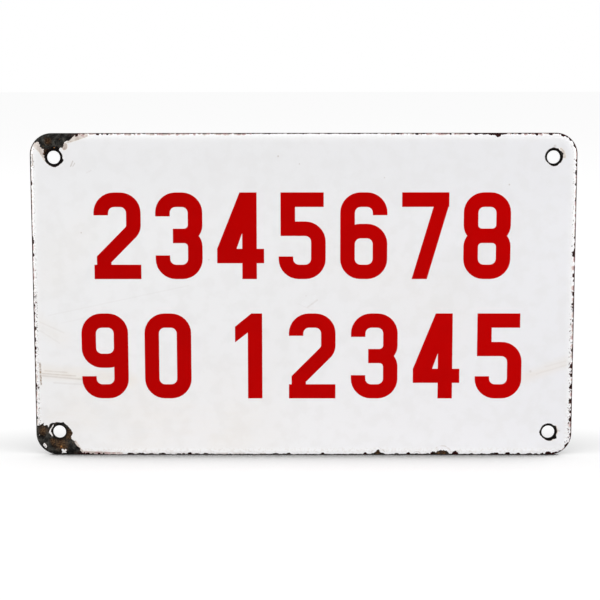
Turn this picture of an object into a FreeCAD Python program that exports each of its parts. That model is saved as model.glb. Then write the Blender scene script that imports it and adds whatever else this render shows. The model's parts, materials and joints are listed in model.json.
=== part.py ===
import FreeCAD, Part
import math
import os

# A small enamelled steel sign for a wall: one pressed sheet with a screw hole in each
# corner. The steel is coated all over with a dark ground coat, and the front has a
# white cover coat on top of that. The coats are glass, fused to the steel, so the whole
# sign is one piece. Its edge is rolled gently back towards the wall. The cover coat has
# broken away round the screw holes, at two corners and in small chips along the edge,
# down to the ground coat.
# Units are millimetres. X runs to the reader's right, Y from the front face towards the
# wall and Z up. The origin is on the back of the flat field, midway between the holes.

# The sheet and its coats
sign_width = 250.0
sign_height = 150.0
corner_radius = 10.0
steel_thickness = 1.2
ground_coat = 0.15
cover_coat = 0.35

# The margin rolled towards the wall, measured on the front face
roll_radius = 4.0
roll_angle = 38.0

# The screw holes, and the ring round each that has lost its cover coat
hole_radius = 3.0
hole_inset = 11.0
bare_ring_width = 1.0

# The chips at the two left corners, each from its hole's centre: starting beyond the
# left edge, round by the field, and out over the top or bottom edge
upper_left_chip = [
    (-14.0, 5.2), (-9.0, 6.6), (-6.6, 7.6), (-5.8, 5.0), (-4.6, 4.0), (-4.2, 2.6),
    (-5.0, 1.8), (-4.0, 1.2), (-4.5, 0.4), (-3.2, -1.9), (2.6, 2.4), (3.2, 4.5),
    (4.7, 4.6), (5.2, 7.2), (7.0, 7.5), (8.4, 8.4), (9.9, 10.7), (11.0, 14.0),
]
lower_left_chip = [
    (-14.0, 2.4), (-9.4, 3.1), (-7.2, 4.4), (-7.3, 3.0), (-5.5, 2.0), (-4.4, 3.4),
    (-1.0, 4.1), (2.6, 3.5), (5.4, 0.9), (6.1, -0.9), (5.3, -2.4), (5.7, -3.6),
    (7.0, -5.0), (9.2, -7.7), (10.6, -10.1), (12.0, -14.0),
]

# The larger chips along the edges: the turn that brings the right edge to theirs, where
# they are from the middle of that edge, anticlockwise, and their length and depth
edge_chips = [
    (-90, -88.5, 2.6, 1.9), (-90, -83.5, 14.0, 1.0), (-90, 93.9, 1.1, 1.1),
    (-90, -106.0, 1.0, 1.3), (-90, -112.3, 1.6, 1.2),
    (180, -52.5, 2.0, 1.0), (180, -25.8, 3.0, 0.9), (180, -20.0, 1.6, 0.9),
    (90, 34.5, 4.6, 2.1), (90, 60.2, 2.0, 1.3), (90, 64.0, 6.2, 1.9),
    (90, 70.2, 2.4, 1.3), (90, 114.0, 2.6, 1.5), (90, -53.3, 1.6, 1.0),
    (0, 19.6, 2.6, 1.4), (0, -32.5, 2.2, 1.2), (0, -42.6, 2.0, 1.3),
]

# Sizes that follow from these
sheet_thickness = steel_thickness + 2 * ground_coat + cover_coat
corner_x = sign_width / 2 - corner_radius
corner_z = sign_height / 2 - corner_radius
hole_x = sign_width / 2 - hole_inset
hole_z = sign_height / 2 - hole_inset
front = -sheet_thickness
bare_front = front + cover_coat
overrun = 5.0
before = front - overrun
half_sheet = sheet_thickness / 2
outwards = FreeCAD.Vector(math.cos(math.radians(roll_angle)), math.sin(math.radians(roll_angle)), 0)
roll_start = corner_radius - half_sheet - (roll_radius - half_sheet) * outwards.y
roll_centre = roll_radius - sheet_thickness


def vector(x, y, z):
    return FreeCAD.Vector(x, y, z)


def turned(shape, turn, x, z):
    """The shape turned about +Y, then moved to x and z."""
    copy = shape.copy()
    copy.rotate(vector(0, 0, 0), vector(0, 1, 0), turn)
    copy.translate(vector(x, 0, z))
    return copy


def on_roll(radius, angle):
    """The point of the margin's section at that radius and angle round the roll."""
    radians = math.radians(angle)
    return vector(roll_start + radius * math.sin(radians), roll_centre - radius * math.cos(radians), 0)


def roll_arc(radius):
    """The arc of the roll at that radius, from the flat field outwards."""
    return Part.Arc(on_roll(radius, 0), on_roll(radius, roll_angle / 2), on_roll(radius, roll_angle))


def sheet_section():
    """The sheet from the corner's centre out to its rounded edge, X running outwards."""
    outer = roll_arc(roll_radius)
    inner = roll_arc(roll_radius - sheet_thickness)
    tip = on_roll(roll_radius - half_sheet, roll_angle) + outwards * half_sheet
    return Part.Face(Part.Wire([
        Part.makeLine(vector(0, 0, 0), vector(0, front, 0)),
        Part.makeLine(vector(0, front, 0), outer.StartPoint),
        outer.toShape(),
        Part.Arc(outer.EndPoint, tip, inner.EndPoint).toShape(),
        inner.toShape(),
        Part.makeLine(inner.StartPoint, vector(0, 0, 0)),
    ]))


def coat_section():
    """Everything in front of the ground coat, out past the edge: where a chip is cut."""
    bottom = roll_arc(roll_radius - cover_coat)
    past_edge = bottom.EndPoint + outwards * overrun
    return Part.Face(Part.Wire([
        Part.makeLine(vector(0, before, 0), vector(0, bare_front, 0)),
        Part.makeLine(vector(0, bare_front, 0), bottom.StartPoint),
        bottom.toShape(),
        Part.makeLine(bottom.EndPoint, past_edge),
        Part.makeLine(past_edge, vector(past_edge.x, before, 0)),
        Part.makeLine(vector(past_edge.x, before, 0), vector(0, before, 0)),
    ]))


def all_round(section, near, far):
    """The plate that has this section along its four sides and round its corners, with
    its flat field between the Y of near and far."""
    field_start = vector(-corner_x, near, -corner_z)
    field = Part.makeBox(2 * corner_x, far - near, 2 * corner_z, field_start)
    corner = section.revolve(vector(0, 0, 0), vector(0, 1, 0), -90)
    pieces = []
    for turn, x, z in ((0, 1, 1), (-90, -1, 1), (180, -1, -1), (90, 1, -1)):
        pieces.append(turned(corner, turn, x * corner_x, z * corner_z))
    for turn, half_run, x, z in (
        (0, corner_z, corner_x, 0), (-90, corner_x, 0, corner_z),
        (180, corner_z, -corner_x, 0), (90, corner_x, 0, -corner_z),
    ):
        side = section.extrude(vector(0, 0, 2 * half_run))
        side.translate(vector(0, 0, -half_run))
        pieces.append(turned(side, turn, x, z))
    return field.fuse(pieces).removeSplitter()


def through_sheet(outline):
    """A prism of the closed outline, through the sheet from front to back."""
    prism = Part.Face(outline).extrude(vector(0, sheet_thickness + 2 * overrun, 0))
    prism.translate(vector(0, before, 0))
    return prism


def round_holes(radius):
    """Four cylinders through the sheet at the screw holes."""
    depth = sheet_thickness + 2 * overrun
    return [
        Part.makeCylinder(radius, depth, vector(x, before, z), vector(0, 1, 0))
        for x in (-hole_x, hole_x)
        for z in (-hole_z, hole_z)
    ]


def corner_chip(border, up):
    """The prism of a left corner's chip: its border on the field, and everything beyond
    that out past the corner, which is the upper one if up is 1 and the lower if -1."""
    hole = vector(-hole_x, 0, up * hole_z)
    left = border[0][1]
    right = border[-1][0]
    beyond = hole_inset + overrun
    outside = [(right, up * beyond), (-beyond, up * beyond), (-beyond, left)]
    points = [hole + vector(x, 0, z) for x, z in border + outside + border[:1]]
    return through_sheet(Part.makePolygon(points))


def edge_chip(turn, place, length, depth):
    """The prism of a shell-shaped chip: an arc that bites into the edge."""
    across = sign_height if turn in (-90, 90) else sign_width
    start = vector(0, 0, place - length / 2)
    end = vector(0, 0, place + length / 2)
    bite = Part.Arc(start, vector(-depth, 0, place), end).toShape()
    outside = Part.makePolygon([end, end + vector(overrun, 0, 0), start + vector(overrun, 0, 0), start])
    chip = through_sheet(Part.Wire([bite] + outside.Edges))
    chip.translate(vector(across / 2, 0, 0))
    return turned(chip, turn, 0, 0)


def sign_plate():
    chips = round_holes(hole_radius + bare_ring_width)
    chips.append(corner_chip(upper_left_chip, 1))
    chips.append(corner_chip(lower_left_chip, -1))
    for chip in edge_chips:
        chips.append(edge_chip(*chip))
    lost_coat = chips[0].fuse(chips[1:]).common(all_round(coat_section(), before, bare_front))
    whole = all_round(sheet_section(), front, 0)
    return whole.cut(lost_coat).cut(round_holes(hole_radius))


os.makedirs("parts", exist_ok=True)
plate = sign_plate()
plate.exportStep("parts/sign_plate.step")
print("sign_plate", plate.isValid(), len(plate.Solids), round(plate.Volume, 1), plate.BoundBox)
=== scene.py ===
import json
import math

import bmesh
import bpy
import numpy as np
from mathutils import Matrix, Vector
from mathutils.geometry import delaunay_2d_cdt
from mathutils.kdtree import KDTree


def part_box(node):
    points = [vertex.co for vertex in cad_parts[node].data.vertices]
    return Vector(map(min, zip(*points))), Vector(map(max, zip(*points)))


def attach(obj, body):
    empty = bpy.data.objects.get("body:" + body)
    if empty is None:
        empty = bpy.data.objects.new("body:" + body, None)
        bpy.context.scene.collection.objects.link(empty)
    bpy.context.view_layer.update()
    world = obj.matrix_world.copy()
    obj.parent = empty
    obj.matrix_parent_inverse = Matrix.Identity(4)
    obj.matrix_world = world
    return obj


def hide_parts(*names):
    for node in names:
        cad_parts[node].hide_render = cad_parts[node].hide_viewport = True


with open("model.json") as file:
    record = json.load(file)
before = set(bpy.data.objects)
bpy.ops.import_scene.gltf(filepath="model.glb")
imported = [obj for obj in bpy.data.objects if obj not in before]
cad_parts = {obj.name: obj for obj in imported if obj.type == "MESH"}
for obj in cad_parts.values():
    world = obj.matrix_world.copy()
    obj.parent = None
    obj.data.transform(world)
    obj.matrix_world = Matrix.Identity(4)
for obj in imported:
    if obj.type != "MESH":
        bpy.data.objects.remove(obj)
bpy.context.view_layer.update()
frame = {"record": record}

# The sheet: mild steel, sheared, punched and pressed so that its edge rolls back towards
# the wall. It was dipped in a dark ground coat and fired, and that glass shows wherever
# the white on top has broken away, all round the edge, in the holes and on the back.
# Sizes are in millimetres. Points are drawn as x and z on the sheet laid out flat.
mm = 0.001
low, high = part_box("sign_plate")
sheet_front = low.y / mm
sheet_thickness = -sheet_front
half_width, half_height = high.x / mm, high.z / mm
corner_radius = 10.0
roll_radius = 4.0
roll_angle = math.radians(38)
enamel_depth = 0.35
half_sheet = sheet_thickness / 2
roll_start = corner_radius - half_sheet - (roll_radius - half_sheet) * math.sin(roll_angle)
roll_end = roll_start + roll_radius * roll_angle
corner_centre = np.array([half_width, half_height]) - corner_radius
bolts = frame["record"]["mounts"][0]["dims"]
hole_x = bolts["spacing_x_mm"] / 2
hole_z = bolts["spacing_y_mm"] / 2
hole_radius = bolts["hole_r_mm"]
hole_centres = [(x, z) for x in (-hole_x, hole_x) for z in (-hole_z, hole_z)]


def laid(flat, depth):
    """Where flat points come to lie once the edge is rolled, that deep below the front."""
    flat = np.asarray(flat, float)
    over = np.maximum(np.abs(flat) - corner_centre, 0)
    reach = np.hypot(over[:, 0], over[:, 1])
    way = over / np.maximum(reach, 1e-9)[:, None]
    past = np.maximum(reach - roll_start, 0)
    angle = np.minimum(past / roll_radius, roll_angle)
    straight = past - roll_radius * angle
    radius = roll_radius - depth
    out = np.minimum(reach, roll_start) + radius * np.sin(angle) + straight * math.cos(roll_angle)
    back = sheet_front + roll_radius - radius * np.cos(angle) + straight * math.sin(roll_angle)
    spread = np.sign(flat) * (np.minimum(np.abs(flat), corner_centre) + way * out[:, None])
    return np.stack([spread[:, 0], back, spread[:, 1]], axis=1)


def rim(step):
    """Points on the rectangle through the corners' centres, and the way out from each,
    anticlockwise from the lower end of the right side."""
    feet, ways = [], []
    for side in range(4):
        turn = side * math.pi / 2
        way = np.array([math.cos(turn), math.sin(turn)])
        along = np.array([-way[1], way[0]])
        run = abs(along @ corner_centre)
        middle = way * abs(way @ corner_centre)
        for place in np.linspace(-run, run, round(2 * run / step), endpoint=False):
            feet.append(middle + along * place)
            ways.append(way)
        for bend in np.linspace(0, math.pi / 2, round(corner_radius * 1.6 / step), endpoint=False):
            feet.append(middle + along * run)
            ways.append(way * math.cos(bend) + along * math.sin(bend))
    return np.array(feet), np.array(ways)


def ring(x, z, radius, count=72):
    """A circle of points, or another closed shape if the radius is one number a point."""
    turn = np.linspace(0, 2 * math.pi, count, endpoint=False)
    return np.stack([x + radius * np.cos(turn), z + radius * np.sin(turn)], axis=1)


def unevenness(flat, size, seed):
    """Smooth random heights from -1 to 1 over flat points, with hills about size apart."""
    count = 640
    lattice = np.random.default_rng(seed).uniform(-1, 1, (count, count))
    place = np.asarray(flat, float) / size + count / 2
    cell = np.floor(place).astype(int) % (count - 1)
    share = place - np.floor(place)
    share = share * share * (3 - 2 * share)
    i, j = cell[:, 0], cell[:, 1]
    lower = lattice[i, j] * (1 - share[:, 0]) + lattice[i + 1, j] * share[:, 0]
    upper = lattice[i, j + 1] * (1 - share[:, 0]) + lattice[i + 1, j + 1] * share[:, 0]
    return lower * (1 - share[:, 1]) + upper * share[:, 1]


def gaps_to(flat, loops):
    """For each flat point, how far the nearest of the loops' lines is, and which of the
    loops' points, counted through, is nearest."""
    starts = np.concatenate(loops)
    ends = np.concatenate([np.roll(loop, -1, axis=0) for loop in loops])
    before, first = [], 0
    for loop in loops:
        before.append(first + np.roll(np.arange(len(loop)), 1))
        first += len(loop)
    before = np.concatenate(before)
    tree = KDTree(len(starts))
    for i, point in enumerate(starts):
        tree.insert((point[0], point[1], 0), i)
    tree.balance()
    nearest = np.array([tree.find((point[0], point[1], 0))[1] for point in flat])
    gap = np.full(len(flat), np.inf)
    for segment in (nearest, before[nearest]):
        start, run = starts[segment], ends[segment] - starts[segment]
        share = ((flat - start) * run).sum(axis=1) / np.maximum((run * run).sum(axis=1), 1e-12)
        foot = start + np.clip(share, 0, 1)[:, None] * run
        gap = np.minimum(gap, np.hypot(*(flat - foot).T))
    return gap, nearest


def numbered(loops):
    """The loops as lists of the numbers of their points, all anticlockwise."""
    outlines, start = [], 0
    for loop in loops:
        x, z = loop.T
        numbers = list(range(start, start + len(loop)))
        outlines.append(numbers if x @ np.roll(z, -1) > z @ np.roll(x, -1) else numbers[::-1])
        start += len(loop)
    return outlines


def filled(loops, points):
    """Triangles between the loops' points and the others, inside the loops but outside
    the loops within them. Gives points, triangles and which points are on a loop."""
    corners = [Vector(point) for point in np.concatenate([*loops, points]).tolist()]
    inside_with_holes = 2
    found = delaunay_2d_cdt(corners, [], numbered(loops), inside_with_holes, 1e-6)
    flat = np.array([tuple(point) for point in found[0]])
    on_loops = sum(len(loop) for loop in loops)
    outline = np.array([any(old < on_loops for old in olds) for olds in found[3]])
    used, faces = np.unique(np.array(found[2]), return_inverse=True)
    return flat[used], faces.reshape(-1, 3), outline[used]


def strips(rows):
    """Points and four-sided faces of a surface through closed rows, one to the next."""
    count = len(rows[0])
    faces = []
    for level in range(len(rows) - 1):
        for i in range(count):
            j = (i + 1) % count
            a, b = level * count, (level + 1) * count
            faces.append((a + i, a + j, b + j, b + i))
    return np.concatenate(rows), faces


def piece(name, surfaces, sharp_angle, left=None):
    """One object from surfaces of points and faces, welded where their points meet. Left
    is how much of a coat is left at each point, if that isn't all of it."""
    weld_gap = 0.002
    points, faces, start = [], [], 0
    for surface_points, surface_faces in surfaces:
        points.append(surface_points)
        faces += [[start + int(i) for i in face] for face in surface_faces]
        start += len(surface_points)
    mesh = bpy.data.meshes.new(name)
    mesh.from_pydata((np.concatenate(points) * mm).tolist(), [], faces)
    if left is not None:
        mesh.attributes.new("left", "FLOAT", "POINT").data.foreach_set("value", left)
    made = bpy.data.objects.new(name, mesh)
    bpy.context.scene.collection.objects.link(made)
    weld = bmesh.new()
    weld.from_mesh(mesh)
    bmesh.ops.remove_doubles(weld, verts=weld.verts, dist=weld_gap * mm)
    bmesh.ops.recalc_face_normals(weld, faces=weld.faces)
    weld.to_mesh(mesh)
    weld.free()
    mesh.shade_smooth()
    mesh.set_sharp_from_angle(angle=math.radians(sharp_angle))
    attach(made, "root")
    return made


def grid(x0, x1, z0, z1, step, seed):
    """Points over a rectangle, each a little off its place so that no rows show."""
    x, z = np.meshgrid(np.arange(x0, x1, step), np.arange(z0, z1, step))
    flat = np.stack([x.ravel(), z.ravel()], axis=1)
    return flat + np.random.default_rng(seed).uniform(-0.3, 0.3, flat.shape) * step


def within(flat, loops, clear):
    """Those of the points that lie on the sheet, more than clear from the loops."""
    over = np.maximum(np.abs(flat) - corner_centre, 0)
    flat = flat[np.hypot(over[:, 0], over[:, 1]) < roll_end]
    return flat[gaps_to(flat, loops)[0] > clear]


rim_step = 0.8
rim_feet, rim_ways = rim(rim_step)
floor_reach = roll_end + math.sqrt(half_sheet ** 2 - (half_sheet - enamel_depth) ** 2)
hole_round = 0.2
bare_loops = [rim_feet + rim_ways * floor_reach]
bare_loops += [ring(x, z, hole_radius + hole_round) for x, z in hole_centres]
bare_patches = []
for x, z in hole_centres:
    size = 12 if x < 0 else 6
    bare_patches.append(grid(x - size, x + size, z - size, z + size, 0.4, 3))
bare_points = [rim_feet + rim_ways * reach for reach in np.linspace(roll_start, roll_end, 6)]
bare_points.append(within(np.concatenate(bare_patches), bare_loops, clear=0.25))
flat, faces, outline = filled(bare_loops, np.concatenate(bare_points))
pits = 0.03 * unevenness(flat, 1.1, 5) + 0.015 * unevenness(flat, 0.45, 6)
bare_front = (laid(flat, enamel_depth + np.where(outline, 0, pits)), faces)

back_loops = [rim_feet + rim_ways * roll_start]
back_loops += [ring(x, z, hole_radius + hole_round) for x, z in hole_centres]
no_points = np.zeros((0, 2))
flat, faces, outline = filled(back_loops, no_points)
bare_back = (laid(flat, sheet_thickness), faces)

# The section of the edge, from the front, round it and along the back of the roll
rounded_from = math.acos((half_sheet - enamel_depth) / half_sheet)
towards_front = np.array([math.sin(roll_angle), -math.cos(roll_angle)])
outwards = np.array([math.cos(roll_angle), math.sin(roll_angle)])
roll_axis = np.array([roll_start, sheet_front + roll_radius])
edge_axis = roll_axis + towards_front * (roll_radius - half_sheet)
inner_radius = roll_radius - sheet_thickness
section = []
for angle in np.linspace(rounded_from, math.pi, 14):
    way = towards_front * math.cos(angle) + outwards * math.sin(angle)
    section.append(edge_axis + half_sheet * way)
for angle in np.linspace(roll_angle, 0, 8)[1:]:
    section.append(roll_axis + inner_radius * np.array([math.sin(angle), -math.cos(angle)]))
edge_rows = []
for out, back in section:
    row = rim_feet + rim_ways * out
    edge_rows.append(np.stack([row[:, 0], np.full(len(row), back), row[:, 1]], axis=1))

hole_walls = []
for x, z in hole_centres:
    front_rows, back_rows = [], []
    for angle in np.linspace(0, math.pi / 2, 4):
        row = ring(x, z, hole_radius + hole_round * (1 - math.sin(angle)))
        past_rim = hole_round * (1 - math.cos(angle))
        front_rows.append(laid(row, enamel_depth + past_rim))
        back_rows.append(laid(row, sheet_thickness - past_rim))
    hole_walls.append(strips(front_rows + back_rows[::-1]))

sheet_surfaces = [bare_front, bare_back, strips(edge_rows), *hole_walls]
sheet = piece("enamelled_sheet", sheet_surfaces, sharp_angle=40)
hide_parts("sign_plate")


def colour(red, green, blue):
    """A colour given as 0 to 255 on a screen, as the shaders take it."""
    shares = [part / 255 for part in (red, green, blue)]
    linear = [s / 12.92 if s <= 0.04045 else ((s + 0.055) / 1.055) ** 2.4 for s in shares]
    return (*linear, 1.0)


class Glaze:
    """A socket of a finish. Sums with it add Math nodes, and made() adds any other node."""

    def __init__(self, tree, socket=None):
        self.tree = tree
        self.socket = socket

    def made(self, kind, settings=None, inputs=None, output=0):
        """A node of that kind, with its settings first and then its values and links."""
        node = self.tree.nodes.new(kind)
        for name, value in (settings or {}).items():
            if name == "stops":
                while len(node.color_ramp.elements) < len(value):
                    node.color_ramp.elements.new(0.5)
                for element, (place, tint) in zip(node.color_ramp.elements, value):
                    element.position = place
                    element.color = tint
            else:
                setattr(node, name, value)
        for name, value in (inputs or {}).items():
            if isinstance(value, Glaze):
                self.tree.links.new(value.socket, node.inputs[name])
            else:
                node.inputs[name].default_value = value
        return Glaze(self.tree, node.outputs[output])

    def sum(self, operation, *values):
        """A Math node, or a Vector Math node if one of the values is a vector."""
        vector = any(isinstance(v, Glaze) and v.socket.type == "VECTOR" for v in values)
        kind = "ShaderNodeVectorMath" if vector else "ShaderNodeMath"
        if vector:
            values = [v if isinstance(v, (Glaze, tuple)) else (v, v, v) for v in values]
        return self.made(kind, {"operation": operation}, dict(enumerate(values)))

    def __add__(self, other):
        return self.sum("ADD", self, other)

    def __sub__(self, other):
        return self.sum("SUBTRACT", self, other)

    def __rsub__(self, other):
        return self.sum("SUBTRACT", other, self)

    def __mul__(self, other):
        return self.sum("MULTIPLY", self, other)

    def __truediv__(self, other):
        return self.sum("DIVIDE", self, other)

    __radd__ = __add__
    __rmul__ = __mul__

    def unsigned(self):
        return self.sum("ABSOLUTE", self)

    def part(self, axis):
        """This vector's X, Y or Z."""
        return self.made("ShaderNodeSeparateXYZ", {}, {"Vector": self}, axis)

    def most(self, other):
        return self.sum("MAXIMUM", self, other)

    def least(self, other):
        return self.sum("MINIMUM", self, other)

    def between(self, start, end):
        """0 below start, 1 above end and smooth from one to the other."""
        ends = {"Value": self, "From Min": start, "From Max": end}
        return self.made("ShaderNodeMapRange", {"interpolation_type": "SMOOTHSTEP"}, ends)

    def noise(self, size, detail=2.0, stretch=(1, 1, 1)):
        """Cloudy values about 0.5, from this place in millimetres, in clouds of that size."""
        inputs = {"Vector": self * stretch, "Scale": 1 / size, "Detail": detail}
        return self.made("ShaderNodeTexNoise", {}, inputs, "Fac")

    def measured(self, operation, other):
        """A number, such as a distance, from this vector and another."""
        settings = {"operation": operation}
        return self.made("ShaderNodeVectorMath", settings, {0: self, 1: other}, "Value")

    def line(self, start, end, width, soft=0.7):
        """1 on the line between two places on the sign, 0 further than the width from it."""
        run = Vector((end[0] - start[0], 0, end[1] - start[1]))
        from_start = self * (1, 0, 1) - (start[0], 0, start[1])
        share = from_start.measured("DOT_PRODUCT", tuple(run)) / run.length_squared
        inputs = {0: tuple(run), "Scale": share.most(0).least(1)}
        foot = self.made("ShaderNodeVectorMath", {"operation": "SCALE"}, inputs)
        return 1 - from_start.measured("DISTANCE", foot).between(width * (1 - soft), width)

    def spot(self, x, z, radius, soft=0.7):
        """1 at that place on the sign, 0 further than the radius from it."""
        away = (self * (1, 0, 1)).measured("DISTANCE", (x, 0, z))
        return 1 - away.between(radius * (1 - soft), radius)

    def tinted(self, share, tint):
        """This colour with that share of another over it."""
        share_input, first_colour, second_colour, colour_output = 0, 6, 7, 2
        settings = {"data_type": "RGBA", "blend_type": "MIX"}
        inputs = {share_input: share, first_colour: self, second_colour: tint}
        return self.made("ShaderNodeMix", settings, inputs, colour_output)


def strongest(shares):
    """The greatest of several shares, at each place."""
    most = shares[0]
    for share in shares[1:]:
        most = most.most(share)
    return most


class Finish(Glaze):
    """A material of a piece: place is where its surface is, in millimetres."""

    def __init__(self, name):
        self.material = bpy.data.materials.new(name)
        self.material.use_nodes = True
        super().__init__(self.material.node_tree)
        self.shader = self.tree.nodes["Principled BSDF"]
        self.place = self.made("ShaderNodeTexCoord", output="Object") * (1 / mm)

    def from_edge(self):
        """How far in from the sign's outline the surface is, in millimetres."""
        over = (self.place.unsigned() - (corner_centre[0], 0, corner_centre[1])).most(0)
        return corner_radius - (over * (1, 0, 1)).measured("DISTANCE", (0, 0, 0))

    def ramp(self, share, *stops):
        """A colour that follows a number, by stops of a place, red, green and blue."""
        stops = [(place, colour(*tint)) for place, *tint in stops]
        return self.made("ShaderNodeValToRGB", {"stops": stops}, {"Fac": share})

    def surface(self, piece, inputs, height=None, depth=0):
        """Sets the shader, with any bump of that height map and depth in millimetres."""
        for name, value in inputs.items():
            if isinstance(value, Glaze):
                self.tree.links.new(value.socket, self.shader.inputs[name])
            else:
                self.shader.inputs[name].default_value = value
        if height is not None:
            bump = self.made("ShaderNodeBump", {}, {"Height": height, "Distance": depth * mm})
            self.tree.links.new(bump.socket, self.shader.inputs["Normal"])
        piece.data.materials.clear()
        piece.data.materials.append(self.material)


def left_corners(place):
    """1 near the two left holes, where the coat has broken off the most."""
    return place.spot(-hole_x, hole_z, 16, 0.3).most(place.spot(-hole_x, -hole_z, 16, 0.3))


finish = Finish("dark_ground_coat")
place = finish.place
blotches = place.noise(2.2, 4)
grain = place.noise(0.45, 3)
tone = finish.ramp(
    0.6 * blotches + 0.4 * grain,
    (0.38, 9, 8, 8), (0.46, 30, 29, 27),
    (0.54, 46, 46, 44), (0.62, 72, 70, 65),
)
rust = place.noise(1.9, 5).between(0.60, 0.72) * 0.6
for x, z, radius in (
    (-116.4, 71.2, 2.4), (-117.0, 66.3, 2.4), (-121.6, -63.2, 3.4), (-113.5, -69.5, 5.0),
    (-111.9, -71.3, 2.6), (-109.3, -65.2, 4.0), (-117.0, -68.6, 2.6), (34.6, -73.8, 2.4),
    (62.6, -74.0, 2.2), (65.4, -74.0, 2.2),
):
    rust = rust.most(place.spot(x, z, radius, 1.0) * (0.2 + 1.3 * grain))
tone = tone.tinted(rust.least(1), colour(58, 38, 24))
tone = tone.tinted(grain.between(0.48, 0.62) * rust.least(0.75), colour(104, 82, 58))

# Soot-dark rings where the screws were, each by its radius and softness
black = strongest([
    place.spot(hole_x, hole_z, 5.2, 0.4), place.spot(hole_x, -hole_z, 5.2, 0.4),
    place.spot(-hole_x, hole_z, 6.2, 0.4), place.spot(-hole_x, -hole_z, 4.8, 0.35),
])
black = black * (0.55 + 0.9 * (1 - blotches)).least(1) * (1.55 - 1.2 * grain).least(1)
tone = tone.tinted(black, colour(8, 5, 4))

# A dark red-brown stain along the edge, away from the larger chips
in_chips = strongest([
    left_corners(place), place.spot(34.6, -74.6, 3.6, 0.4), place.spot(64.2, -74.6, 4.6, 0.3),
])
edge_gap = finish.from_edge()
stained = (1 - edge_gap.between(0.6, 4.0)) * (1 - in_chips)
stained = stained * (0.6 + 0.8 * (1 - blotches)).least(1)
tone = tone.tinted(stained, finish.ramp(grain, (0.42, 7, 3, 3), (0.62, 62, 20, 17)))

# Bright grains of rust
for x, z, radius, strength in (
    (-113.2, -71.2, 0.9, 1.0), (-113.6, 68.5, 0.4, 0.8), (-118.4, 66.0, 0.4, 0.6),
    (63.2, -74.4, 0.9, 0.3), (65.8, -74.6, 0.9, 0.3), (34.8, -74.4, 0.8, 0.2),
):
    ember = place.spot(x, z, radius, 0.8) * grain.between(0.4, 0.55) * strength
    tone = tone.tinted(ember, colour(172, 118, 68))

# The back is more even, only clouded, and rusty where the screws held it
on_back = (place.part("Y") + 0.18 * edge_gap.least(4)).between(0.2, 0.4)
back_tone = finish.ramp(
    0.7 * place.noise(34, 4) + 0.3 * place.noise(5, 3),
    (0.38, 20, 20, 21), (0.5, 34, 34, 34), (0.62, 50, 49, 47),
)
screwed = strongest([
    place.spot(-hole_x, hole_z, 9, 0.9), place.spot(-hole_x, -hole_z, 12, 0.9),
    place.spot(hole_x, hole_z, 7, 0.9), place.spot(hole_x, -hole_z, 7, 0.9),
])
back_tone = back_tone.tinted(screwed * blotches.between(0.42, 0.62), colour(86, 54, 34))
tone = tone.tinted(on_back, back_tone)
finish.surface(
    sheet,
    {"Base Color": tone, "Roughness": 0.34 + 0.4 * rust + 0.15 * grain, "Specular IOR Level": 0.03},
    0.7 * blotches + 0.5 * grain, 0.06,
)

# The white cover coat: glass frit sprayed over the ground coat, a quarter of a
# millimetre thick once fired. Screws and knocks have broken it off in shells at two
# corners, round the holes and along the edge, where firing had drawn it thin.
white_thickness = 0.28
print_thickness = enamel_depth - white_thickness

# What is left of the coat's border in the upper left corner, from the top edge, down and
# round under the hole, to the left edge
upper_left_border = [
    (-104.0, 74.7), (-104.9, 73.6), (-106.0, 72.3), (-106.9, 71.6), (-108.0, 71.5),
    (-108.9, 71.0), (-109.3, 70.1), (-109.4, 69.2), (-109.8, 68.4), (-110.6, 68.6),
    (-111.1, 68.3), (-111.4, 67.3), (-110.5, 66.0), (-109.9, 64.7), (-109.8, 63.4),
    (-109.4, 62.7), (-110.4, 61.4), (-111.8, 60.2), (-113.1, 59.6), (-114.8, 59.9),
    (-116.1, 60.5), (-117.2, 61.5), (-117.9, 62.5), (-117.8, 63.3), (-118.4, 64.2),
    (-117.9, 64.8), (-118.9, 65.5), (-118.2, 66.3), (-118.5, 67.0), (-118.2, 67.8),
    (-119.3, 68.0), (-119.6, 68.7), (-120.2, 68.8), (-119.9, 69.6), (-120.4, 70.3),
    (-120.6, 71.0), (-121.5, 71.4), (-122.3, 70.9),
]

# The same in the lower left corner, from the left edge, over the hole and down to the
# bottom edge
lower_left_border = [
    (-124.7, -61.2), (-123.5, -61.0), (-122.2, -60.3), (-121.3, -59.7), (-121.4, -60.7),
    (-121.0, -61.2), (-120.2, -60.8), (-119.5, -60.9), (-119.3, -62.1), (-118.9, -61.6),
    (-118.4, -60.4), (-117.4, -59.8), (-115.3, -59.4), (-113.6, -59.6), (-112.0, -59.4),
    (-110.8, -60.6), (-109.6, -61.8), (-108.6, -62.9), (-107.8, -64.5), (-108.1, -65.3),
    (-108.6, -66.0), (-108.5, -67.3), (-107.6, -68.0), (-107.1, -68.5), (-107.0, -69.3),
    (-106.3, -70.3), (-105.3, -71.3), (-104.5, -72.0), (-104.6, -73.0), (-103.7, -74.2),
    (-103.0, -74.7),
]

# White left standing inside the two chips
slivers = [
    [(-116.9, -60.4), (-116.5, -60.7), (-117.6, -62.5), (-118.0, -64.0), (-117.0, -66.0),
     (-117.5, -66.2), (-118.5, -64.9), (-119.0, -64.2), (-118.3, -62.6)],
    [(-121.2, -69.2), (-120.4, -70.0), (-119.9, -70.9), (-120.5, -71.9), (-121.3, -71.4),
     (-122.1, -70.5)],
    [(-123.5, -65.3), (-123.2, -65.6), (-123.5, -65.95), (-123.8, -65.6)],
    [(-113.3, -72.5), (-112.7, -71.9), (-112.0, -72.6), (-111.3, -72.1), (-110.7, -72.9),
     (-111.3, -73.5), (-110.9, -74.5), (-112.0, -74.3), (-113.3, -74.6), (-112.9, -73.5)],
]

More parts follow.
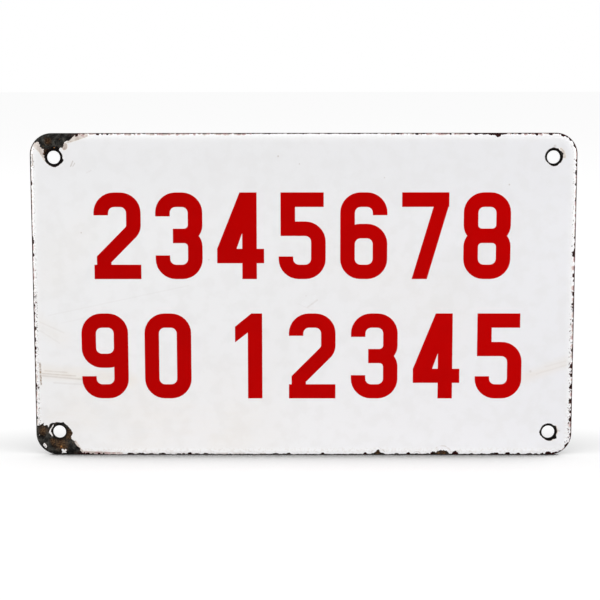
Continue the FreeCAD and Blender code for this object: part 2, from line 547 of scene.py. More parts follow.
# How far the coat has come off round the two right holes: a turn from the reader's
# right, anticlockwise, and the distance from the hole's centre
upper_right_ring = [
    (0, 4.25), (12, 4.2), (20, 4.8), (30, 4.3), (50, 4.05), (62, 4.4), (75, 4.1), (90, 4.35),
    (120, 4.1), (150, 4.0), (180, 3.95), (205, 3.8), (228, 3.55), (245, 3.8), (270, 4.1),
    (290, 4.1), (300, 4.1), (308, 3.8), (325, 4.1), (345, 4.1),
]
lower_right_ring = [
    (0, 4.2), (20, 4.1), (38, 4.5), (50, 4.0), (75, 4.1), (95, 4.15), (130, 3.95), (160, 3.8),
    (172, 3.95), (180, 4.15), (190, 3.95), (203, 3.95), (215, 3.6), (240, 3.65), (262, 3.95),
    (280, 4.2), (290, 4.3), (303, 3.95), (315, 4.65), (325, 4.95), (335, 4.0), (348, 3.95),
]

# Chips along the edge: how far along the side from its middle, and the length and the
# depth of the chip as they show from in front
top_chips = [
    (-103.4, 1, 1.2), (-93.9, 1, 0.85), (-91.6, 0.5, 0.6), (-89.2, 0.6, 0.65), (-86, 0.8, 0.3),
    (-77.5, 0.6, 0.25), (-72.4, 1, 0.3), (-51.1, 0.8, 0.25), (-41.5, 0.9, 0.25),
    (-25.1, 0.9, 0.3), (-22.3, 0.8, 0.25), (-9.5, 0.5, 0.25), (-2.6, 0.5, 0.25),
    (12.9, 0.6, 0.25), (33.2, 0.8, 0.3), (43, 1.6, 0.45), (51.5, 1, 0.75), (55, 1.4, 0.4),
    (67, 0.5, 0.7), (75.3, 0.8, 0.75), (79.4, 4.6, 0.45), (78.7, 1.3, 0.75), (82.6, 2.6, 0.6),
    (86, 3.6, 0.8), (88.5, 2.4, 1.55), (91, 3, 0.55), (95.2, 0.4, 0.4), (98.4, 1.2, 0.6),
    (103, 0.4, 0.45), (106.1, 0.8, 0.95), (112.6, 1.3, 0.9), (114.8, 0.6, 0.35),
]
right_chips = [
    (62.4, 0.9, 0.75), (60.5, 1.1, 0.7), (56.9, 2, 0.85), (51.5, 0.8, 0.85), (44.2, 0.5, 0.6),
    (36, 0.5, 0.4), (27.2, 1, 0.75), (24, 0.9, 0.7), (21.5, 0.7, 0.75), (19.6, 2.4, 1.4),
    (11.3, 0.4, 0.4), (9.6, 1.6, 1.15), (7.2, 0.7, 0.75), (0.9, 1.5, 1.15), (-0.4, 0.5, 0.5),
    (-3.8, 0.6, 1.3), (-5.2, 0.7, 0.9), (-6.8, 1, 0.8), (-11.5, 1, 0.8), (-21.5, 0.6, 0.5),
    (-25.5, 1, 0.95), (-32.9, 1.7, 1.45), (-35, 0.8, 0.85), (-37.1, 1.1, 1.3),
    (-40.8, 0.5, 0.55), (-42.8, 1.9, 1.35), (-44.6, 0.5, 0.6), (-49.4, 1.8, 1.4),
    (-52.5, 0.8, 0.8), (-54.4, 1.1, 1.1), (-57, 0.6, 0.85), (-58.4, 1.4, 1.45),
    (-63.1, 0.7, 0.6), (-65.2, 0.8, 0.85),
]
bottom_chips = [
    (114.2, 2.6, 1.2), (111.4, 1, 0.6), (108.6, 0.8, 0.4), (105.3, 2.3, 0.45),
    (100.3, 1.2, 0.6), (95.4, 1.9, 0.95), (90, 2.0, 0.75), (88.2, 1.8, 0.5), (83.4, 0.8, 0.35),
    (78.2, 1, 0.4), (70.8, 2.2, 1.35), (64.9, 5.6, 1.75), (60.6, 2, 1.25), (63.8, 8, 0.6),
    (58.2, 1, 0.45), (52.8, 0.9, 0.35), (49, 1.3, 0.8), (43.4, 1.4, 0.5), (34.7, 1, 2.05),
    (34.6, 2.4, 1.4), (34.8, 6.2, 0.7), (28.9, 0.7, 0.75), (8.8, 0.9, 0.75), (-6.9, 1.2, 0.55),
    (-12.9, 2.6, 0.4), (-45.8, 1.8, 0.38), (-49.8, 2.4, 0.28), (-53.2, 1.4, 0.85),
    (-56.1, 0.9, 0.3), (-58.3, 1.4, 0.42), (-66.3, 3.0, 0.5), (-71.4, 1.6, 0.35),
    (-76.2, 3.4, 0.5), (-80.8, 2.8, 0.5), (-93.7, 0.5, 0.5), (-95.8, 0.6, 0.5),
    (-98.7, 0.6, 0.25), (-101, 1.4, 0.6), (-103, 1.0, 0.8),
]
left_chips = [
    (-57.3, 1.2, 0.85), (-49.9, 0.8, 0.6), (-43.9, 0.9, 0.7), (-41.9, 1.8, 0.9),
    (-35.1, 1, 0.5), (-28.3, 1.2, 0.65), (-26.5, 0.9, 0.95), (-24.5, 1.6, 0.95),
    (-20.5, 2.3, 0.9), (-15, 1.3, 1.05), (-11.7, 0.8, 0.65), (-8.1, 1.5, 0.7),
    (-4.4, 0.8, 0.75), (-0.4, 1.2, 0.6), (1.5, 0.6, 0.5), (4, 0.5, 0.5), (19.4, 1.8, 0.95),
    (25.2, 2, 1), (27, 1.2, 0.75), (34.5, 0.6, 0.4), (52.3, 2, 0.8), (58.8, 0.5, 0.4),
    (62, 1.3, 0.6), (64.3, 1.2, 0.6),
]

# The same at the corners, by the nearest point of the sign's outline, and then all
chips = [
    (118.3, 74.4, 1.8, 0.9), (120, 73.6, 1.2, 0.6), (121.8, 72.2, 1.5, 0.7),
    (123, 70.6, 0.9, 0.5), (123.9, 69.2, 2, 0.85), (124.3, -67.5, 0.8, 0.5),
    (122.6, -70.2, 2.6, 1.05), (119.6, -73.2, 1, 0.5), (117.4, -74.3, 3.2, 0.7),
]
chips += [(x, half_height, length, depth) for x, length, depth in top_chips]
chips += [(half_width, z, length, depth) for z, length, depth in right_chips]
chips += [(x, -half_height, length, depth) for x, length, depth in bottom_chips]
chips += [(-half_width, z, length, depth) for z, length, depth in left_chips]

# Shelves beside the borders, where only the upper part of the coat has split off
shelves = [
    [(-103.8, 75.2), (-98.0, 75.2), (-98.3, 73.3), (-101.0, 72.3), (-104.0, 71.3), (-107.2, 70.3),
     (-108.9, 70.6), (-106.5, 72.0)],
    [(-109.3, 70.6), (-108.0, 70.9), (-107.3, 69.6), (-107.5, 68.0), (-108.3, 67.2), (-109.6, 67.1),
     (-110.2, 68.1), (-109.9, 69.0)],
    [(-123.6, 70.9), (-122.9, 68.2), (-121.6, 67.3), (-120.4, 65.9), (-119.1, 63.4), (-118.0, 61.9),
     (-117.4, 64.5), (-118.5, 69.0), (-121.5, 71.8)],
    [(-106.9, -67.6), (-105.7, -68.7), (-104.6, -70.6), (-104.0, -72.0), (-102.9, -72.6),
     (-102.6, -74.8), (-104.9, -74.0), (-108.0, -69.0)],
    [(116.2, 68.2), (117.4, 68.4), (118.9, 67.0), (119.7, 64.8), (119.5, 63.4), (118.2, 63.4),
     (117.0, 66.8)],
    [(116.6, -60.4), (118.0, -61.0), (118.5, -62.6), (119.3, -63.4), (118.6, -64.2), (118.4, -65.8),
     (117.0, -64.6), (117.0, -62.0)],
    [(116.0, -67.0), (117.4, -67.9), (115.4, -68.3), (114.6, -67.9)],
    [(-103.0, -72.9), (-96.0, -73.3), (-88.0, -73.8), (-84.5, -74.0), (-84.5, -75.2),
     (-103.0, -75.2)],
]


def roughened(points, share, seed, closed=False):
    """A line through the points, broken up so that its short pieces stray a little."""
    longest = 0.3
    random = np.random.default_rng(seed)
    line = np.array(points, float)
    while True:
        ends = np.roll(line, -1, axis=0) if closed else line[1:]
        starts = line if closed else line[:-1]
        run = ends - starts
        length = np.hypot(*run.T)
        if length.max() < longest:
            return line
        sideways = np.stack([-run[:, 1], run[:, 0]], axis=1)
        stray = random.uniform(-share, share, len(run))[:, None] * sideways
        middles = (starts + ends) / 2 + stray
        woven = []
        for i, start in enumerate(starts):
            woven.append(start)
            if length[i] >= longest:
                woven.append(middles[i])
        if not closed:
            woven.append(line[-1])
        line = np.array(woven)


def worn_ring(centre, shape, seed):
    """The closed border of the coat round a hole, from its turns and radii."""
    turns = np.linspace(0, 360, 110, endpoint=False)
    radii = np.interp(turns, *np.array(shape).T, period=360)
    radii = radii + 0.06 * np.random.default_rng(seed).uniform(-1, 1, len(radii))
    return ring(*centre, radii, len(turns))


# The line of the edge, and how much of its way out goes to each side
edge_step = 0.24
edge_feet, edge_ways = rim(edge_step)
silhouette = edge_feet + edge_ways * corner_radius
edge_x, edge_z = silhouette.T
rightwards, above = (np.maximum(edge_ways, 0) ** 2).T
leftwards, below = (np.maximum(-edge_ways, 0) ** 2).T

# How far in from the outline the coat begins, as it shows from in front
edge_bare = 0.43 * leftwards + 0.35 * rightwards
edge_bare += below * np.interp(edge_x, [-60, -20], [0.14, 0.32])
edge_bare += above * np.interp(edge_x, [-110, -40, -20, 30, 60], [0.15, 0.2, 0.36, 0.36, 0.24])
edge_bare += 0.11 * unevenness(silhouette, 2.3, 11) + 0.13 * unevenness(silhouette, 0.6, 12)
edge_bare = np.maximum(edge_bare, 0.04 + 0.09 * below)

# Generated bites, and the listed chips, which are cut longer and deeper than they show
# because their walls are pale
pale_ends, pale_wall = 0.25, 0.22
small_bites = 0.6 * np.maximum(unevenness(silhouette, 1.1, 13) - 0.5, 0)
edge_bare += small_bites
edge_broken = small_bites > 0.03
jagged = 1 + 0.2 * unevenness(silhouette, 0.45, 14)
for x, z, length, depth in chips:
    middle = silhouette[np.hypot(edge_x - x, edge_z - z).argmin()]
    share = np.hypot(*(silhouette - middle).T) / (length / 2 + pale_ends)
    shell = np.sqrt(np.maximum(1 - share ** 4, 0))
    bite = (depth + pale_wall + 0.2 * below) * jagged * shell
    bitten = (share < 1) & (bite > edge_bare)
    edge_bare[bitten] = bite[bitten]
    edge_broken |= bitten

# The same places on the sheet laid out flat
flat_reaches = np.linspace(0, floor_reach, 300)
across_roll = np.stack([corner_centre[0] + flat_reaches, 0 * flat_reaches], axis=1)
seen_reaches = laid(across_roll, enamel_depth)[:, 0] - corner_centre[0]
edge_reach = np.interp(corner_radius - edge_bare, seen_reaches, flat_reaches)
edge = edge_feet + edge_ways * edge_reach[:, None]

# The width over which the coat thins out to nothing: a steep wall where it is broken
wall = 0.13
edge_faded = leftwards * np.interp(edge_z, [-10, 20], [0.95, 0.7]) + 0.3 * below
# On the right the feather is wide, and the grey of the thinned coat there is partly painted shade,
# where the edge rolls away from the light
edge_faded += rightwards * np.interp(edge_z, [-20, 10, 45], [1.5, 1.8, 0.9])
edge_faded += above * np.interp(edge_x, [-30, -20, 34, 40], [1.2, 0.3, 0.3, 1.1])
edge_faded *= 1 + 0.45 * unevenness(silhouette, 0.9, 15)
edge_widths = np.where(edge_broken, wall, edge_faded)


def spliced(line, widths, border):
    """The edge with the stretch between the border's ends changed for the border."""
    first = np.hypot(*(line - border[0]).T).argmin()
    last = np.hypot(*(line - border[-1]).T).argmin()
    line = np.concatenate([line[:first], border, line[last + 1:]])
    widths = np.concatenate([widths[:first], np.full(len(border), wall), widths[last + 1:]])
    return line, widths


for border, seed in ((upper_left_border, 21), (lower_left_border, 22)):
    edge, edge_widths = spliced(edge, edge_widths, roughened(border, 0.09, seed))
broken_loops = [
    worn_ring((hole_x, hole_z), upper_right_ring, 31),
    worn_ring((hole_x, -hole_z), lower_right_ring, 32),
]
for seed, sliver in enumerate(slivers):
    broken_loops.append(roughened(sliver, 0.07, 41 + seed, closed=True))
white_loops = [edge, *broken_loops]
broken_widths = np.full(sum(len(loop) for loop in broken_loops), wall)
wall_widths = np.concatenate([edge_widths, broken_widths])


def inside(flat, shape):
    """How far inside a closed shape each point is, or less than 0 outside it."""
    shape = np.array(shape, float)
    ends = np.roll(shape, -1, axis=0)
    crossed = np.zeros(len(flat), bool)
    gap = np.full(len(flat), np.inf)
    for start, end in zip(shape, ends):
        run = end - start
        share = np.clip(((flat - start) @ run) / (run @ run), 0, 1)
        gap = np.minimum(gap, np.hypot(*(flat - start - share[:, None] * run).T))
        spans = (start[1] > flat[:, 1]) != (end[1] > flat[:, 1])
        reach = start[0] + (flat[:, 1] - start[1]) * run[0] / (run[1] if run[1] else 1e-9)
        crossed ^= spans & (flat[:, 0] < reach)
    return np.where(crossed, gap, -gap)


def inset(loops, distance):
    """Points that distance, one for all or one each, inside and outside the loops' points."""
    points = []
    for loop in loops:
        run = np.roll(loop, -1, axis=0) - np.roll(loop, 1, axis=0)
        side = np.stack([-run[:, 1], run[:, 0]]) / np.maximum(np.hypot(*run.T), 1e-9)
        points += [loop + (side * distance).T, loop - (side * distance).T]
    return np.concatenate(points)


def layer(name, loops, points, wall_widths, surface, thickness, thinned=None):
    """A closed layer of fired glass: its top that deep below the front, and falling to
    nothing over the wall's width beside each point of the loops, in a round shoulder
    or, if the wall is wide, a long feathered one."""
    widest_shoulder = 0.3
    sunk = 0.02
    flat, faces, outline = filled(loops, points)
    gap, nearest = gaps_to(flat, loops)
    width = wall_widths[nearest]
    inwards = np.minimum(gap / width, 1)
    round_shoulder = np.sqrt(np.maximum(1 - (1 - inwards) ** 2, 0))
    left = np.where(width > widest_shoulder, inwards, round_shoulder)
    if thinned is not None:
        left = left * (1 - thinned(flat))
    left[outline] = 0
    top = laid(flat, surface + (1 - left) * thickness)
    under = laid(flat, surface + thickness + np.where(outline, 0, sunk))
    surfaces = [(top, faces), (under, faces[:, ::-1])]
    return piece(name, surfaces, sharp_angle=32, left=np.concatenate([left, left]))


def split_off(flat):
    """The share of the coat that is gone on the shelves, in uneven shell-like steps."""
    slope = 0.35
    lost = np.zeros(len(flat))
    for seed, shelf in enumerate(shelves):
        shell = 0.5 + 0.18 * unevenness(flat, 1.2, 51 + seed)
        shell += 0.1 * unevenness(flat, 0.4, 61 + seed)
        lost = np.maximum(lost, np.clip(inside(flat, shelf) / slope, 0, 1) * shell)
    return lost


# Points over the field, closer together towards the margin and the chips
field = [grid(-112, 112, -68, 68, 4.0, 71)]
field += [grid(-122, 122, side * 66 - 7, side * 66 + 7, 1.1, 72) for side in (-1, 1)]
field += [grid(side * 114 - 9, side * 114 + 9, -60, 60, 1.1, 73) for side in (-1, 1)]
field += [grid(-125, -96, side * 65 - 10, side * 65 + 10, 0.35, 74) for side in (-1, 1)]
field += [grid(109, 121, side * hole_z - 6, side * hole_z + 6, 0.4, 75) for side in (-1, 1)]
for reach in np.linspace(roll_start - 0.6, roll_end - 0.3, 8):
    field.append(edge_feet[::2] + edge_ways[::2] * reach)
white_points = np.concatenate([
    inset(white_loops, wall),
    inset([edge], np.maximum(edge_widths / 2, wall)),
    inset([edge], np.maximum(edge_widths, wall)),
    within(np.concatenate(field), white_loops, clear=0.3),
])
white_points = white_points[gaps_to(white_points, white_loops)[0] > wall * 0.8]
cover = layer(
    "white_cover_coat", white_loops, white_points, wall_widths,
    print_thickness, white_thickness, split_off,
)

finish = Finish("white_cover_coat")
place = finish.place
across = place.part("X")
upwards = place.part("Z")
clouds = place.noise(45, 3)
grain = place.noise(0.7, 3)
# Painted light: the field is painted a little lighter at the left than at the right, as the light
# falls across it, under random clouds
tone = finish.ramp(
    across / (2 * half_width) + 0.5 + 0.12 * (clouds - 0.5),
    (0.0, 235, 235, 236), (0.45, 234, 234, 235), (1.0, 233, 233, 236),
)
tone = tone.tinted(clouds.between(0.55, 0.75) * 0.2, colour(222, 221, 218))
mottled = place.noise(6, 5).between(0.42, 0.64)
tone = tone.tinted(0.24 * mottled, colour(222, 221, 220))
# Painted shade: the field is painted darker towards the top
tone = tone.tinted(0.25 * upwards.between(30, 60), colour(224, 224, 226))

# Rust water has yellowed it in the lower left, and in wipes from the edges
patches = 0.15 + 0.35 * place.noise(20, 4).between(0.3, 0.66)
yellowed = place.line((-120, -60), (-40, -66), 46, 1.0) * patches
for start, end, width, strength in (
    ((-122, -35.2), (-80, -39.8), 6.5, 1.0), ((102, -38.5), (124, -30), 5, 0.8),
    ((-124, -12), (-112, -20), 8, 0.45), ((-118, 8), (-100, 30), 16, 0.2),
    ((20, 20), (70, -10), 26, 0.2),
):
    yellowed = yellowed.most(place.line(start, end, width, 1.0) * strength)
yellowed = yellowed * (0.5 + place.noise(1.3, 3, (0.15, 1, 1)))
tone = tone.tinted(0.2 * yellowed, colour(224, 204, 172))

# Painted highlight: the rolled margin is painted whiter than the field, where the light catches the
# roll
edge_gap = finish.from_edge()
tone = tone.tinted((1 - edge_gap.between(0.8, 4.6)) * 0.8, colour(244, 244, 245))

# Grime that has run in from the left edge in fine lines, and rubbed marks on the field
dashes = place.noise(0.5, 2, (1, 1, 1.6)).between(0.42, 0.6)
grime = place.line((-122.3, -31.5), (-122.1, -41.5), 0.6, 0.6) * (0.25 + 0.75 * dashes)
for start, end, width, strength in (
    ((-120, -35.0), (-110, -35.7), 0.55, 0.16), ((-122, -36.2), (-106, -37.4), 0.6, 0.22),
    ((-122, -37.2), (-103, -39.0), 0.7, 0.22), ((-116, -40.6), (-103, -41.4), 0.7, 0.1),
    ((108, -36.4), (122, -32.2), 0.6, 0.07), ((112, -33), (122, -30.2), 0.6, 0.06),
    ((-122, -12), (-111, -17), 0.6, 0.07), ((-122, -16), (-113, -22), 0.6, 0.06),
    ((-118, -9), (-53, 5), 0.5, 0.045), ((-112, -12.5), (-84, -6.5), 0.5, 0.03),
    ((1.9, -5.1), (6.3, -1.8), 0.65, 0.15), ((-2.5, -3.5), (4, -6.6), 0.5, 0.05),
    ((-106.2, 60), (-105.2, 62.3), 0.45, 0.35), ((-105.2, 60), (-104.3, 61.4), 0.4, 0.25),
    ((-99, 57), (-97, 58), 0.4, 0.1),
):
    grime = grime.most(place.line(start, end, width, 0.9) * strength)
grime = grime.most(place.line((-123.8, 65.2), (-123.6, 60.4), 0.45, 0.6) * 0.6)
gaps_between = place.noise(2.6, 2).between(0.4, 0.56)
grime = grime.most(place.line((-90, -74.3), (-18, -74.4), 0.5, 0.7) * 0.35 * gaps_between)
grime = grime * (0.4 + 1.2 * place.noise(1.6, 3))
for x, z, radius, strength in (
    (-11.5, 64.5, 0.6, 0.4), (-1.8, 61, 0.5, 0.3), (37, 54.7, 0.5, 0.3), (94, 51.5, 0.6, 0.4),
    (-102, 29.5, 0.5, 0.4), (-43.5, 17, 0.5, 0.3), (1.2, 0.2, 0.4, 0.2), (114.5, 69, 1.1, 0.3),
    (-123.9, 67.4, 0.5, 0.6), (-123, 67.7, 0.4, 0.6), (119.2, -63.4, 0.5, 0.5),
    (105.2, -35.2, 0.9, 0.2),
):
    grime = grime.most(place.spot(x, z, radius, 0.9) * strength)
tone = tone.tinted(grime.least(1), colour(136, 109, 82))

# Crumbs of a duller white along the margin, most of all below
crumbs = place.noise(1.0, 3).between(0.48, 0.62) * edge_gap.between(0.8, 1.4)
crumbs = crumbs * (1 - edge_gap.between(2.2, 4.4)) * (0.28 - 0.22 * upwards.between(-68, -30))
tone = tone.tinted(crumbs, colour(206, 196, 186))

# Fine brushed streaks that run in from the left and right edges
from_side = across.unsigned()
streaks = place.noise(0.55, 3, (0.12, 1, 1)).between(0.52, 0.72)
tone = tone.tinted(streaks * from_side.between(120, 124.6) * 0.16, colour(176, 168, 164))

# Small pits in the coat beside the left and right edges, most of all low down
low_half = 1 - upwards.between(-6, 24)
pitted = from_side.between(116, 122) * (0.35 + 0.65 * low_half)
pitted = pitted * edge_gap.between(0.3, 0.7) * (1 - edge_gap.between(1.4, 2.8))
pits = (place.noise(0.62, 3) + 0.10 * pitted).between(0.665, 0.705) * pitted.between(0.05, 0.3)
pit_tone = finish.ramp(place.noise(2.0, 2), (0.42, 30, 10, 12), (0.58, 96, 60, 56))
tone = tone.tinted(pits, pit_tone)
specks = place.noise(0.5, 3, (1, 1, 0.6)).between(0.50, 0.62) * from_side.between(122.4, 123.2)
specks = specks * edge_gap.between(0.4, 0.8) * (0.30 - 0.2 * across.between(-120, 120))
tone = tone.tinted(specks, colour(128, 116, 106))

# Hairlines in the coat that ring the larger chips of the lower edge
hairlines = [
    place.spot(x, -half_height, radius + 0.35, 0.12) - place.spot(x, -half_height, radius, 0.12)
    for x, radius in ((64.6, 4.6), (34.8, 3.4), (70.8, 2.2), (53.0, 1.6))
]
rings = strongest(hairlines) * place.noise(1.4, 2).between(0.40, 0.58) * edge_gap.between(0.3, 0.9)
tone = tone.tinted(0.45 * rings, colour(168, 146, 124))

# Where the coat is thin or broken its layers show: grey-beige glass, then a dark edge
left = finish.made("ShaderNodeAttribute", {"attribute_name": "left"}, {}, "Fac")
uneven_left = left + 0.16 * (grain - 0.5) * left.between(0.0, 0.1)
broken_glass = finish.ramp(
    uneven_left,
    (0.0, 40, 28, 26), (0.2, 124, 106, 100), (0.42, 190, 178, 170),
    (0.7, 220, 213, 206), (0.9, 234, 231, 227),
)
rosy = (1 - edge_gap.between(0.8, 2.6)) * (1 - left_corners(place))
rosy = rosy * place.noise(1.6, 2).between(0.4, 0.6)
broken_glass = broken_glass.tinted(0.45 * rosy, colour(168, 104, 114))
stripped = 1 - uneven_left.between(0.86, 0.985)
tone = tone.tinted(stripped, broken_glass)
finish.surface(
    cover,
    {
        "Base Color": tone, "Roughness": 0.16 + 0.3 * stripped + 0.2 * grime + 0.06 * clouds,
        "Specular IOR Level": 0.5,
    },
    0.5 * place.noise(9, 2) + 0.04 * grain + 0.25 * grime, 0.05,
)

# The numerals: a thin layer of red glass, brushed through a stencil on to the fired
# white and fired once more, so that it stands a little proud and its edges are round.
numeral_width = 21.6
numeral_height = 40.0
stroke = 6.7
bowl = 6.0

# Each run of digits: where it starts, the foot that it stands on and the gaps in it
row_1 = ("2345678", -96.2, 8.0, 20 / 3)
row_2_start = ("90", -102.8, -48.0, 7.6)
row_2_end = ("12345", -35.5, -48.0, 7.125)

# Lines that the middle of the brush follows
near_left, near_right = stroke / 2, numeral_width - stroke / 2
near_foot, near_top = stroke / 2, numeral_height - stroke / 2
waist = numeral_height / 2


def bent(path):
    """The centreline through the path's points, each with the radius that it bends at."""
    line = []
    for i, (x, z, radius) in enumerate(path):
        corner = np.array([x, z], float)
        if not radius:
            line.append(corner)
            continue
        into = corner - np.array(path[i - 1][:2])
        onward = np.array(path[(i + 1) % len(path)][:2]) - corner
        into, onward = into / np.hypot(*into), onward / np.hypot(*onward)
        turn = math.atan2(into[0] * onward[1] - into[1] * onward[0], into @ onward)
        side = np.array([-into[1], into[0]]) * math.copysign(1, turn)
        start = corner - into * radius * math.tan(abs(turn) / 2)
        for bend in np.linspace(0, abs(turn), 9):
            line.append(start + radius * (into * math.sin(bend) + side * (1 - math.cos(bend))))
    return np.array(line)


def brushed(path, closed=False):
    """The outlines of a stroke along the path: one, or an outer and an inner if closed."""
    line = bent(path)
    into = line - np.roll(line, 1, axis=0)
    onward = np.roll(line, -1, axis=0) - line
    if not closed:
        into[0], onward[-1] = onward[0], into[-1]
    into = into / np.hypot(*into.T)[:, None]
    onward = onward / np.hypot(*onward.T)[:, None]
    across = np.stack([-(into + onward)[:, 1], (into + onward)[:, 0]], axis=1)
    across = across / (1 + (into * onward).sum(axis=1))[:, None] * stroke / 2
    if closed:
        return [line - across, line + across]
    return [np.concatenate([line - across, (line + across)[::-1]])]


numeral_strokes = {
    "0": [brushed([
        (near_left, near_foot, bowl), (near_right, near_foot, bowl),
        (near_right, near_top, bowl), (near_left, near_top, bowl),
    ], closed=True)],
    "1": [[np.array([
        (16.4, 0), (16.4, numeral_height), (11.4, numeral_height), (3.8, 33.8), (3.8, 26.4),
        (9.7, 31.0), (9.7, 0),
    ])]],
    "2": [
        brushed([
            (near_left, 29.5, 0), (near_left, near_top, bowl), (near_right, near_top, bowl),
            (near_right, 23.0, 5.0), (near_left + 1.2, 9.2, 0), (near_left + 1.2, 3.0, 0),
        ]),
        brushed([(0, near_foot, 0), (numeral_width, near_foot, 0)]),
    ],
    "3": [
        brushed([
            (near_left, 29.0, 0), (near_left, near_top, bowl), (near_right, near_top, bowl),
            (near_right, waist, 5.0), (8.0, waist, 0),
        ]),
        brushed([
            (8.0, waist, 0), (near_right, waist, 5.0), (near_right, near_foot, bowl),
            (near_left, near_foot, bowl), (near_left, 11.0, 0),
        ]),
    ],
    "4": [
        brushed([(14.9, 0, 0), (14.9, numeral_height, 0)]),
        brushed([(0, 10.7, 0), (numeral_width, 10.7, 0)]),
        [np.array([
            (0, 7.4), (6.6, 7.4), (18.2, numeral_height), (10.4, numeral_height), (0, 14.0),
        ])],
    ],
    "5": [
        brushed([(0.9, near_top, 0), (numeral_width - 0.9, near_top, 0)]),
        brushed([(0.9 + near_left, numeral_height, 0), (0.9 + near_left, 20.2, 0)]),
        brushed([
            (0.9, 23.3, 0), (near_right, 23.3, bowl), (near_right, near_foot, bowl),
            (near_left, near_foot, bowl), (near_left, 10.5, 0),
        ]),
    ],
    "6": [
        brushed([
            (near_left, near_foot, bowl), (near_right, near_foot, bowl),
            (near_right, 22.2, bowl), (near_left, 22.2, bowl),
        ], closed=True),
        brushed([
            (near_left, 12.0, 0), (near_left, near_top, bowl), (near_right, near_top, bowl),
            (near_right, 29.5, 0),
        ]),
    ],
    "7": [
        brushed([(0, near_top, 0), (numeral_width, near_top, 0)]),
        [np.array([
            (4.6, 0), (11.6, 0), (numeral_width, 34.5), (numeral_width, 38), (14.6, 34),
        ])],
    ],
    "8": [
        brushed([
            (near_left, near_foot, bowl), (near_right, near_foot, bowl),
            (near_right, waist, bowl - 1), (near_left, waist, bowl - 1),
        ], closed=True),
        brushed([
            (near_left, waist, bowl - 1), (near_right, waist, bowl - 1),
            (near_right, near_top, bowl), (near_left, near_top, bowl),
        ], closed=True),
    ],
}
numeral_strokes["9"] = [
    [(numeral_width, numeral_height) - outline for outline in outlines]
    for outlines in numeral_strokes["6"]
]


def united(strokes):
    """The closed outlines round strokes that overlap."""
    loops = [outline for outlines in strokes for outline in outlines]
    corners = [Vector(point) for point in np.concatenate(loops).tolist()]
    anywhere_inside = 1
    found = delaunay_2d_cdt(corners, [], numbered(loops), anywhere_inside, 1e-4)
    onward = set()
    for triangle, inside_of in zip(found[2], found[5]):
        first = 0
        covered = False
        for outlines in strokes:
            covered |= first in inside_of and (len(outlines) < 2 or first + 1 not in inside_of)
            first += len(outlines)
        if covered:
            a, b, c = triangle
            onward |= {(a, b), (b, c), (c, a)}
    border = {a: b for a, b in onward if (b, a) not in onward}
    outlines = []
    while border:
        loop = [next(iter(border))]
        while loop[-1] in border:
            loop.append(border.pop(loop[-1]))
        outlines.append(np.array([tuple(found[0][i]) for i in loop[:-1]]))
    return outlines


def divided(loop, step):
    """The loop with its long sides divided into steps."""
    points = []
    for i, point in enumerate(loop):
        end = loop[(i + 1) % len(loop)]
        count = max(1, round(np.hypot(*(end - point)) / step))
        points += [point + (end - point) * share for share in np.arange(count) / count]
    return np.array(points)


numerals = []
round_edge = 0.25
for digits, start, foot, gap_between in (row_1, row_2_start, row_2_end):
    for place_in_row, digit in enumerate(digits):
        shift = (start + place_in_row * (numeral_width + gap_between), foot)
        outlines = united(numeral_strokes[digit])
        loops = [divided(outline, step=1.0) + shift for outline in outlines]
        points = np.concatenate([inset(loops, 0.08), inset(loops, round_edge)])
        points = points[gaps_to(points, loops)[0] > 0.06]
        widths = np.full(sum(len(loop) for loop in loops), round_edge)
        name = f"red_numeral_{len(numerals) + 1}"
        numeral = layer(name, loops, points, widths, 0, print_thickness)
        numerals.append(numeral)

finish = Finish("red_enamel")
flow = finish.place.noise(14, 3)
across = finish.place.part("X")
tone = finish.ramp(across / (2 * half_width) + flow, (0.2, 174, 0, 0), (0.85, 185, 0, 0))
for numeral in numerals:
    finish.surface(
        numeral, {"Base Color": tone, "Roughness": 0.2, "Specular IOR Level": 0.02},
        finish.place.noise(6, 2), 0.03,
    )

# The floor and the studio: white all round where a ray goes straight to it, and soft
# lamps overhead, in front and at both sides. The floor's colour holds a painted contact
# shadow at the sign's foot and painted light behind it.
def by_ray(glaze, *rays):
    """1 for rays of these kinds and 0 for others."""
    kinds = [f"Is {ray} Ray" for ray in rays]
    return strongest([glaze.made("ShaderNodeLightPath", output=kind) for kind in kinds])


studio = bpy.data.worlds.new("white_studio")
studio.use_nodes = True
bpy.context.scene.world = studio
backdrop = studio.node_tree.nodes["Background"]
backdrop.inputs["Color"].default_value = (1, 1, 1, 1)
fill_level = 0.22
seen = by_ray(Glaze(studio.node_tree), "Camera", "Glossy", "Transmission")
level = fill_level + (1 - fill_level) * seen
studio.node_tree.links.new(level.socket, backdrop.inputs["Strength"])

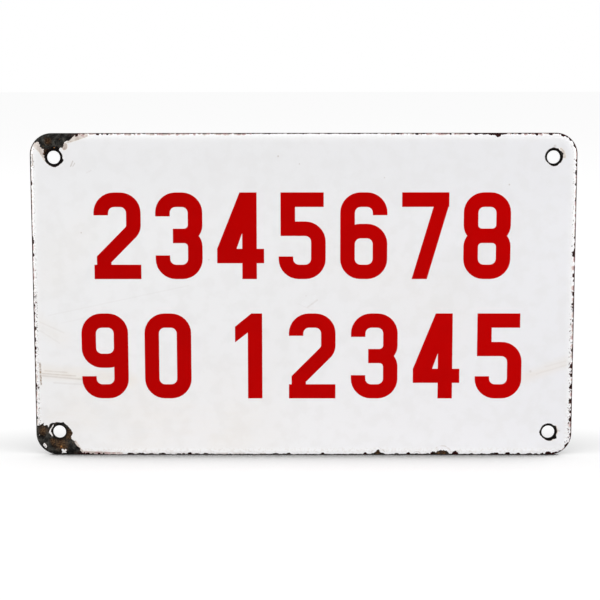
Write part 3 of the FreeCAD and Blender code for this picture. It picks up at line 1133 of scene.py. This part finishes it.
floor_half = 6.0
floor_corners = [
    (x * floor_half, y * floor_half, low.z) for x, y in ((-1, -1), (1, -1), (1, 1), (-1, 1))
]
floor_mesh = bpy.data.meshes.new("floor")
floor_mesh.from_pydata(floor_corners, [], [(0, 1, 2, 3)])
ground = bpy.data.objects.new("floor", floor_mesh)
bpy.context.scene.collection.objects.link(ground)
finish = Finish("white_floor")
lit = by_ray(finish, "Camera", "Glossy")
# Painted shadow: the floor's colour and glow darken with ambient occlusion near the sign's foot, a
# painted contact shadow
open_sky = finish.made("ShaderNodeAmbientOcclusion", {"samples": 16}, {"Distance": 0.06}, "AO")
painted_contact_shadow = finish.ramp(
    open_sky,
    (0.495, 60, 58, 57), (0.51, 146, 143, 142), (0.524, 190, 189, 189),
    (0.533, 190, 190, 190), (0.549, 191, 191, 191), (0.575, 204, 204, 204),
    (0.62, 217, 217, 217), (0.68, 224, 224, 224), (0.75, 232, 232, 232),
    (1.0, 244, 244, 244),
)
far_off = (finish.place * (1, 1, 0)).measured("DISTANCE", (0, 0, 0)).between(130, 900)
# Painted light: the floor's glow is raised just behind the sign, where it lies in the lamps' shadow
painted_light_behind = finish.place.part("Y").between(12, 70)
dimmed = (1 - lit).most(0.36 - (0.3 * far_off).most(0.14 * painted_light_behind))
painted = painted_contact_shadow.tinted(0.45 * lit, colour(0, 0, 0)).tinted(1 - lit, colour(249, 249, 249))
finish.surface(
    ground,
    {
        "Base Color": painted, "Roughness": 0.9, "Specular IOR Level": 0.0,
        "Emission Color": painted_contact_shadow.tinted(dimmed, colour(0, 0, 0)), "Emission Strength": 1.0,
    },
)

for name, stand, size, watts in (
    ("overhead_lamp", (0.0, -0.45, 1.1), (1.4, 0.7), 6.8),
    ("left_lamp", (-1.3, -0.4, 0.3), (0.8, 0.8), 12.2),
    ("right_lamp", (1.3, -0.4, 0.3), (0.8, 0.8), 12.2),
):
    lamp = bpy.data.lights.new(name, "AREA")
    lamp.shape = "RECTANGLE"
    lamp.size, lamp.size_y = size
    lamp.energy = watts
    lamp_object = bpy.data.objects.new(name, lamp)
    lamp_object.location = stand
    lamp_object.rotation_euler = (-Vector(stand)).to_track_quat("-Z", "Y").to_euler()
    bpy.context.scene.collection.objects.link(lamp_object)

# The camera stands 0.79 m in front, a little above the sign, and looks down on it
# through a long lens
lens = bpy.data.cameras.new("camera")
lens.sensor_width = 36.0
lens.lens = 103.8
camera = bpy.data.objects.new("camera", lens)
camera.location = (0.003415, -0.791005, 0.115729)
camera.rotation_euler = [math.radians(turn) for turn in (81.535, 0.0613, 0.3551)]
bpy.context.scene.collection.objects.link(camera)
bpy.context.scene.camera = camera
bpy.context.scene.view_settings.view_transform = "Standard"
